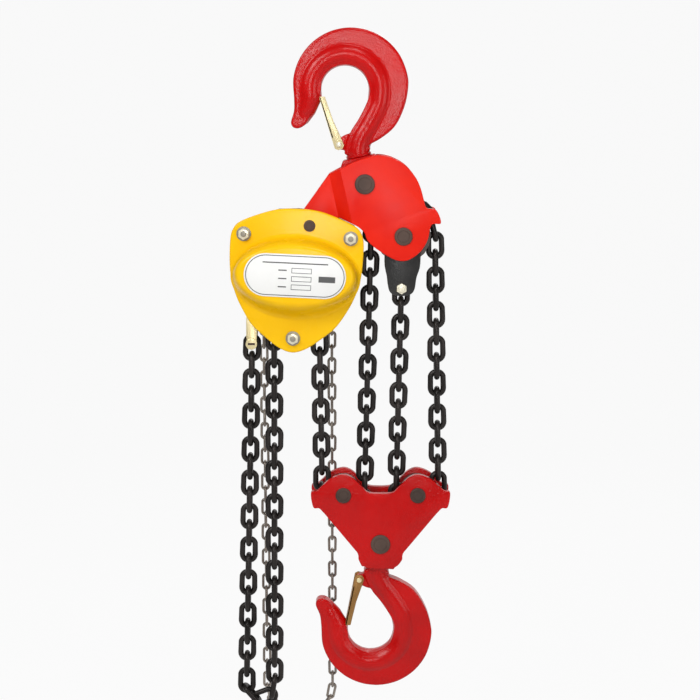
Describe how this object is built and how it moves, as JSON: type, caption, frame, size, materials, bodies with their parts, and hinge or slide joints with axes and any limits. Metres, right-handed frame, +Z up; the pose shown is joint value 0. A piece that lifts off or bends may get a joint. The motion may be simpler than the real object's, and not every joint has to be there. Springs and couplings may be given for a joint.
{
  "type": "manual chain hoist",
  "caption": "Hand chain hoist hung by a swivel hook, with a geared body in a joggled frame and a reeved lower block that raises a latched load hook.",
  "frame": {"origin": "the bearing point at the top of the top hook's bowl", "axes": "+X to the viewer's right of the front, +Y away from the front (gear cover) toward the hand wheel, +Z up along the hang"},
  "size_m": [0.3792, 0.2009, 1.2634],
  "materials": {
    "red_paint": "glossy signal red enamel",
    "yellow_paint": "glossy golden yellow enamel",
    "black_chain": "blackened hardened steel",
    "hand_chain_steel": "dull plated steel",
    "steel": "dark bare steel",
    "zinc": "bright zinc plating",
    "yellow_zinc": "pale yellow passivated zinc",
    "lining": "moulded friction lining",
    "white_plate": "white enamel plate"
  },
  "bodies": {
    "frame": {"upper_front_plate": "red_paint", "upper_rear_plate": "red_paint", "top_hook_pin": "steel", "upper_sheave_pin": "steel", "chain_anchor": "black_chain", "anchor_bolt": "zinc", "hanging_pin": "steel", "gear_cover": "yellow_paint", "name_plate": "white_plate", "front_side_plate": "steel", "rear_side_plate": "steel", "stay_bolt_1": "zinc", "stay_bolt_2": "zinc", "stay_bolt_3": "zinc", "hand_wheel_cover": "yellow_paint", "ratchet": "steel", "chain_stripper": "steel", "tail_bracket": "zinc", "slack_chain": "black_chain", "sheave_chain": "black_chain", "fall_1_upper": "black_chain", "upper_chain": "black_chain", "fall_4_upper": "black_chain", "hand_chain": "hand_chain_steel", "hand_wheel_chain": "hand_chain_steel"},
    "top_yoke_body": {"top_yoke": "red_paint"},
    "top_hook_body": {"top_hook": "red_paint", "top_hook_nut": "steel"},
    "top_latch_body": {"top_latch": "yellow_zinc"},
    "upper_sheave_body": {"upper_sheave": "steel"},
    "hand_wheel_body": {"hand_wheel": "steel", "drive_shaft": "steel", "brake_hub": "steel", "inner_lining": "lining", "outer_lining": "lining", "shaft_nut": "zinc"},
    "disc_left_body": {"disc_gear_left": "steel"},
    "disc_right_body": {"disc_gear_right": "steel"},
    "load_body": {"load_sheave": "steel", "load_gear": "steel"},
    "lower_block": {"lower_front_plate": "red_paint", "lower_rear_plate": "red_paint", "lower_left_pin": "steel", "lower_right_pin": "steel", "bottom_hook_pin": "steel", "lower_spacer": "red_paint", "left_wrap": "black_chain", "right_wrap": "black_chain", "fall_1_lower": "black_chain", "fall_2_lower": "black_chain", "fall_3_lower": "black_chain", "fall_4_lower": "black_chain"},
    "left_sheave_body": {"lower_left_sheave": "steel"},
    "right_sheave_body": {"lower_right_sheave": "steel"},
    "bottom_yoke_body": {"bottom_yoke": "red_paint"},
    "bottom_hook_body": {"bottom_hook": "red_paint", "bottom_hook_nut": "steel"},
    "bottom_latch_body": {"bottom_latch": "yellow_zinc"},
    "pawl_left_body": {"pawl_left": "steel"},
    "pawl_right_body": {"pawl_right": "steel"}
  },
  "joints": [
    {"name": "top_tilt", "type": "hinge", "parent": "frame", "child": "top_yoke_body", "pos_m": [0.0335, 0, -0.2], "axis": [0, 1, 0], "range_deg": [0, 24]},
    {"name": "top_swivel", "type": "hinge", "parent": "top_yoke_body", "child": "top_hook_body", "pos_m": [0.0335, 0, -0.2], "axis": [-0.2062, 0, 0.9785], "continuous": true},
    {"name": "top_latch_hinge", "type": "hinge", "parent": "top_hook_body", "child": "top_latch_body", "pos_m": [-0.01063, 0, -0.13367], "axis": [0, 1, 0], "range_deg": [0, 28], "stiffness_Nm_per_rad": 0.6, "springref_deg": -28.65},
    {"name": "hand_wheel_spin", "type": "hinge", "parent": "frame", "child": "hand_wheel_body", "pos_m": [-0.0841, 0, -0.3512], "axis": [0, -1, 0], "range_deg": [0, 42660]},
    {"name": "disc_left_spin", "type": "hinge", "parent": "frame", "child": "disc_left_body", "pos_m": [-0.13579, 0, -0.34876], "axis": [0, -1, 0], "range_deg": [-6402, 0]},
    {"name": "disc_right_spin", "type": "hinge", "parent": "frame", "child": "disc_right_body", "pos_m": [-0.03241, 0, -0.35364], "axis": [0, -1, 0], "range_deg": [-6402, 0]},
    {"name": "load_sheave_spin", "type": "hinge", "parent": "frame", "child": "load_body", "pos_m": [-0.0841, 0, -0.3512], "axis": [0, -1, 0], "range_deg": [0, 961]},
    {"name": "upper_sheave_spin", "type": "hinge", "parent": "frame", "child": "upper_sheave_body", "pos_m": [0.0995, 0, -0.2885], "axis": [0, -1, 0], "range_deg": [0, 336]},
    {"name": "lift", "type": "slide", "parent": "frame", "child": "lower_block", "axis": [0, 0, 1], "range_m": [0, 0.1601], "deforming": ["fall_1_lower", "fall_2_lower", "fall_3_lower", "fall_4_lower"]},
    {"name": "lower_left_spin", "type": "hinge", "parent": "lower_block", "child": "left_sheave_body", "pos_m": [-0.0031, 0, -0.739], "axis": [0, -1, 0], "range_deg": [-746, 0]},
    {"name": "lower_right_spin", "type": "hinge", "parent": "lower_block", "child": "right_sheave_body", "pos_m": [0.1263, 0, -0.739], "axis": [0, -1, 0], "range_deg": [0, 250]},
    {"name": "bottom_tilt", "type": "hinge", "parent": "lower_block", "child": "bottom_yoke_body", "pos_m": [0.0616, 0, -0.8262], "axis": [0, 1, 0], "range_deg": [-14, 14]},
    {"name": "bottom_swivel", "type": "hinge", "parent": "bottom_yoke_body", "child": "bottom_hook_body", "pos_m": [0.0616, 0, -0.8262], "axis": [0.1028, 0, 0.9947], "continuous": true},
    {"name": "bottom_latch_hinge", "type": "hinge", "parent": "bottom_hook_body", "child": "bottom_latch_body", "pos_m": [0.02465, 0, -0.89678], "axis": [0, -1, 0], "range_deg": [0, 28], "stiffness_Nm_per_rad": 0.6, "springref_deg": -28.65},
    {"name": "pawl_left_hinge", "type": "hinge", "parent": "frame", "child": "pawl_left_body", "pos_m": [-0.10393, 0, -0.29457], "axis": [0, 1, 0], "range_deg": [0, 14], "stiffness_Nm_per_rad": 0.05, "springref_deg": -17.19},
    {"name": "pawl_right_hinge", "type": "hinge", "parent": "frame", "child": "pawl_right_body", "pos_m": [-0.06427, 0, -0.40783], "axis": [0, 1, 0], "range_deg": [0, 14], "stiffness_Nm_per_rad": 0.05, "springref_deg": -17.19}
  ],
  "couplings": [
    {"joint": "disc_left_spin", "follows": "hand_wheel_spin", "ratio": -0.15},
    {"joint": "disc_right_spin", "follows": "hand_wheel_spin", "ratio": -0.15},
    {"joint": "load_sheave_spin", "follows": "hand_wheel_spin", "ratio": 0.0225},
    {"joint": "lift", "follows": "hand_wheel_spin", "m_per_rad": 0.00021486},
    {"joint": "upper_sheave_spin", "follows": "hand_wheel_spin", "ratio": 0.0078131},
    {"joint": "lower_left_spin", "follows": "hand_wheel_spin", "ratio": -0.017421},
    {"joint": "lower_right_spin", "follows": "hand_wheel_spin", "ratio": 0.005807}
  ]
}
